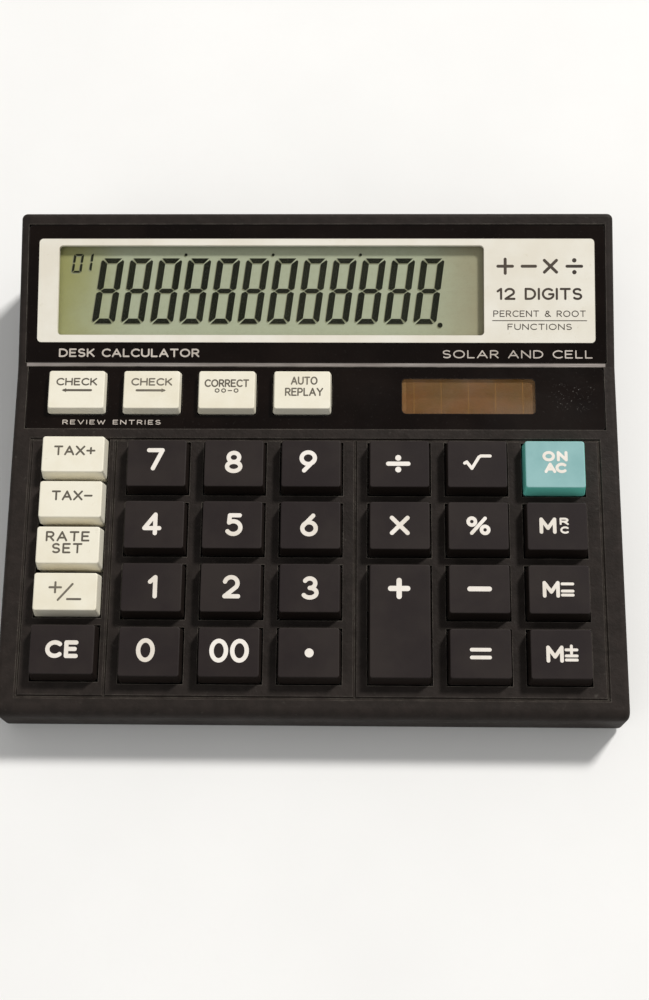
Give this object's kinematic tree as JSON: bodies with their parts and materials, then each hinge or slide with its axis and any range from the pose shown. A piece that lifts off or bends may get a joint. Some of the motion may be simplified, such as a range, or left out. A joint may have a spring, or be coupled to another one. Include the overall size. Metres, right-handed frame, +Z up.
{
  "type": "desktop calculator",
  "caption": "Wedge-shaped desktop calculator with a long tilted display, a solar cell, cream function keys and a black keypad.",
  "frame": {"origin": "centre of the footprint, at the table surface under the feet", "axes": "+X to the right along the display, +Y to the rear, +Z up"},
  "size_m": [0.148, 0.124, 0.0295],
  "materials": {
    "case_black": "fine texture",
    "panel_black": "gloss",
    "cream_trim": "satin",
    "clear_window": "clear",
    "silver_trim": "satin",
    "amber_window": "clear",
    "solar_brown": "gloss",
    "display_glass": "clear",
    "display_film": "satin",
    "inner_plastic": "satin",
    "ribbon_film": "satin",
    "board_green": "satin",
    "mat_rubber": "matt",
    "resin_black": "gloss",
    "can_sleeve": "satin",
    "screw_steel": "satin",
    "foot_rubber": "matt",
    "cell_jacket": "gloss",
    "contact_metal": "bright",
    "wire_red": "satin",
    "wire_black": "satin",
    "key_cream": "satin",
    "key_black": "satin",
    "key_teal": "satin"
  },
  "bodies": {
    "case": {"upper_case": "case_black", "lower_case": "case_black", "display_panel": "panel_black", "function_panel": "panel_black", "display_frame": "cream_trim", "display_window": "clear_window", "trim_strip": "silver_trim", "solar_window": "amber_window", "solar_cell": "solar_brown", "lcd_front_glass": "display_glass", "lcd_rear_glass": "display_glass", "lcd_polarizers": "display_film", "lcd_retainer": "inner_plastic", "lcd_ribbon": "ribbon_film", "main_board": "board_green", "dome_mat": "mat_rubber", "chip_cover": "resin_black", "board_capacitor": "can_sleeve", "small_screws": "screw_steel", "case_screws": "screw_steel", "rubber_feet": "foot_rubber", "battery_cell": "cell_jacket", "battery_contact": "contact_metal", "battery_spring": "contact_metal", "battery_wire_red": "wire_red", "battery_wire_black": "wire_black", "solar_wires": "wire_red"},
    "battery_cover": {"battery_cover": "case_black"},
    "key_check_back": {"key_check_back": "key_cream"},
    "key_check_forward": {"key_check_forward": "key_cream"},
    "key_correct": {"key_correct": "key_cream"},
    "key_auto_replay": {"key_auto_replay": "key_cream"},
    "key_tax_plus": {"key_tax_plus": "key_cream"},
    "key_tax_minus": {"key_tax_minus": "key_cream"},
    "key_rate_set": {"key_rate_set": "key_cream"},
    "key_sign_change": {"key_sign_change": "key_cream"},
    "key_clear_entry": {"key_clear_entry": "key_black"},
    "key_7": {"key_7": "key_black"},
    "key_8": {"key_8": "key_black"},
    "key_9": {"key_9": "key_black"},
    "key_4": {"key_4": "key_black"},
    "key_5": {"key_5": "key_black"},
    "key_6": {"key_6": "key_black"},
    "key_1": {"key_1": "key_black"},
    "key_2": {"key_2": "key_black"},
    "key_3": {"key_3": "key_black"},
    "key_0": {"key_0": "key_black"},
    "key_double_zero": {"key_double_zero": "key_black"},
    "key_decimal": {"key_decimal": "key_black"},
    "key_divide": {"key_divide": "key_black"},
    "key_square_root": {"key_square_root": "key_black"},
    "key_multiply": {"key_multiply": "key_black"},
    "key_percent": {"key_percent": "key_black"},
    "key_memory_recall": {"key_memory_recall": "key_black"},
    "key_plus": {"key_plus": "key_black"},
    "key_minus": {"key_minus": "key_black"},
    "key_memory_minus": {"key_memory_minus": "key_black"},
    "key_equals": {"key_equals": "key_black"},
    "key_memory_plus": {"key_memory_plus": "key_black"},
    "key_on_all_clear": {"key_on_all_clear": "key_teal"}
  },
  "joints": [
    {"name": "battery_cover_slide", "type": "slide", "parent": "case", "child": "battery_cover", "axis": [0, 1, 0], "range_m": [0, 0.024]},
    {"name": "key_check_back_press", "type": "slide", "parent": "case", "child": "key_check_back", "axis": [0, 0.0872, -0.9962], "range_m": [0, 0.0015], "stiffness_N_per_m": 350, "springref_m": -0.0006},
    {"name": "key_check_forward_press", "type": "slide", "parent": "case", "child": "key_check_forward", "axis": [0, 0.0872, -0.9962], "range_m": [0, 0.0015], "stiffness_N_per_m": 350, "springref_m": -0.0006},
    {"name": "key_correct_press", "type": "slide", "parent": "case", "child": "key_correct", "axis": [0, 0.0872, -0.9962], "range_m": [0, 0.0015], "stiffness_N_per_m": 350, "springref_m": -0.0006},
    {"name": "key_auto_replay_press", "type": "slide", "parent": "case", "child": "key_auto_replay", "axis": [0, 0.0872, -0.9962], "range_m": [0, 0.0015], "stiffness_N_per_m": 350, "springref_m": -0.0006},
    {"name": "key_tax_plus_press", "type": "slide", "parent": "case", "child": "key_tax_plus", "axis": [0, 0.0872, -0.9962], "range_m": [0, 0.0015], "stiffness_N_per_m": 350, "springref_m": -0.0006},
    {"name": "key_tax_minus_press", "type": "slide", "parent": "case", "child": "key_tax_minus", "axis": [0, 0.0872, -0.9962], "range_m": [0, 0.0015], "stiffness_N_per_m": 350, "springref_m": -0.0006},
    {"name": "key_rate_set_press", "type": "slide", "parent": "case", "child": "key_rate_set", "axis": [0, 0.0872, -0.9962], "range_m": [0, 0.0015], "stiffness_N_per_m": 350, "springref_m": -0.0006},
    {"name": "key_sign_change_press", "type": "slide", "parent": "case", "child": "key_sign_change", "axis": [0, 0.0872, -0.9962], "range_m": [0, 0.0015], "stiffness_N_per_m": 350, "springref_m": -0.0006},
    {"name": "key_clear_entry_press", "type": "slide", "parent": "case", "child": "key_clear_entry", "axis": [0, 0.0872, -0.9962], "range_m": [0, 0.0015], "stiffness_N_per_m": 350, "springref_m": -0.0006},
    {"name": "key_7_press", "type": "slide", "parent": "case", "child": "key_7", "axis": [0, 0.0872, -0.9962], "range_m": [0, 0.0015], "stiffness_N_per_m": 350, "springref_m": -0.0006},
    {"name": "key_8_press", "type": "slide", "parent": "case", "child": "key_8", "axis": [0, 0.0872, -0.9962], "range_m": [0, 0.0015], "stiffness_N_per_m": 350, "springref_m": -0.0006},
    {"name": "key_9_press", "type": "slide", "parent": "case", "child": "key_9", "axis": [0, 0.0872, -0.9962], "range_m": [0, 0.0015], "stiffness_N_per_m": 350, "springref_m": -0.0006},
    {"name": "key_4_press", "type": "slide", "parent": "case", "child": "key_4", "axis": [0, 0.0872, -0.9962], "range_m": [0, 0.0015], "stiffness_N_per_m": 350, "springref_m": -0.0006},
    {"name": "key_5_press", "type": "slide", "parent": "case", "child": "key_5", "axis": [0, 0.0872, -0.9962], "range_m": [0, 0.0015], "stiffness_N_per_m": 350, "springref_m": -0.0006},
    {"name": "key_6_press", "type": "slide", "parent": "case", "child": "key_6", "axis": [0, 0.0872, -0.9962], "range_m": [0, 0.0015], "stiffness_N_per_m": 350, "springref_m": -0.0006},
    {"name": "key_1_press", "type": "slide", "parent": "case", "child": "key_1", "axis": [0, 0.0872, -0.9962], "range_m": [0, 0.0015], "stiffness_N_per_m": 350, "springref_m": -0.0006},
    {"name": "key_2_press", "type": "slide", "parent": "case", "child": "key_2", "axis": [0, 0.0872, -0.9962], "range_m": [0, 0.0015], "stiffness_N_per_m": 350, "springref_m": -0.0006},
    {"name": "key_3_press", "type": "slide", "parent": "case", "child": "key_3", "axis": [0, 0.0872, -0.9962], "range_m": [0, 0.0015], "stiffness_N_per_m": 350, "springref_m": -0.0006},
    {"name": "key_0_press", "type": "slide", "parent": "case", "child": "key_0", "axis": [0, 0.0872, -0.9962], "range_m": [0, 0.0015], "stiffness_N_per_m": 350, "springref_m": -0.0006},
    {"name": "key_double_zero_press", "type": "slide", "parent": "case", "child": "key_double_zero", "axis": [0, 0.0872, -0.9962], "range_m": [0, 0.0015], "stiffness_N_per_m": 350, "springref_m": -0.0006},
    {"name": "key_decimal_press", "type": "slide", "parent": "case", "child": "key_decimal", "axis": [0, 0.0872, -0.9962], "range_m": [0, 0.0015], "stiffness_N_per_m": 350, "springref_m": -0.0006},
    {"name": "key_divide_press", "type": "slide", "parent": "case", "child": "key_divide", "axis": [0, 0.0872, -0.9962], "range_m": [0, 0.0015], "stiffness_N_per_m": 350, "springref_m": -0.0006},
    {"name": "key_square_root_press", "type": "slide", "parent": "case", "child": "key_square_root", "axis": [0, 0.0872, -0.9962], "range_m": [0, 0.0015], "stiffness_N_per_m": 350, "springref_m": -0.0006},
    {"name": "key_multiply_press", "type": "slide", "parent": "case", "child": "key_multiply", "axis": [0, 0.0872, -0.9962], "range_m": [0, 0.0015], "stiffness_N_per_m": 350, "springref_m": -0.0006},
    {"name": "key_percent_press", "type": "slide", "parent": "case", "child": "key_percent", "axis": [0, 0.0872, -0.9962], "range_m": [0, 0.0015], "stiffness_N_per_m": 350, "springref_m": -0.0006},
    {"name": "key_memory_recall_press", "type": "slide", "parent": "case", "child": "key_memory_recall", "axis": [0, 0.0872, -0.9962], "range_m": [0, 0.0015], "stiffness_N_per_m": 350, "springref_m": -0.0006},
    {"name": "key_plus_press", "type": "slide", "parent": "case", "child": "key_plus", "axis": [0, 0.0872, -0.9962], "range_m": [0, 0.0015], "stiffness_N_per_m": 350, "springref_m": -0.0006},
    {"name": "key_minus_press", "type": "slide", "parent": "case", "child": "key_minus", "axis": [0, 0.0872, -0.9962], "range_m": [0, 0.0015], "stiffness_N_per_m": 350, "springref_m": -0.0006},
    {"name": "key_memory_minus_press", "type": "slide", "parent": "case", "child": "key_memory_minus", "axis": [0, 0.0872, -0.9962], "range_m": [0, 0.0015], "stiffness_N_per_m": 350, "springref_m": -0.0006},
    {"name": "key_equals_press", "type": "slide", "parent": "case", "child": "key_equals", "axis": [0, 0.0872, -0.9962], "range_m": [0, 0.0015], "stiffness_N_per_m": 350, "springref_m": -0.0006},
    {"name": "key_memory_plus_press", "type": "slide", "parent": "case", "child": "key_memory_plus", "axis": [0, 0.0872, -0.9962], "range_m": [0, 0.0015], "stiffness_N_per_m": 350, "springref_m": -0.0006},
    {"name": "key_on_all_clear_press", "type": "slide", "parent": "case", "child": "key_on_all_clear", "axis": [0, 0.0872, -0.9962], "range_m": [0, 0.0015], "stiffness_N_per_m": 350, "springref_m": -0.0006}
  ]
}
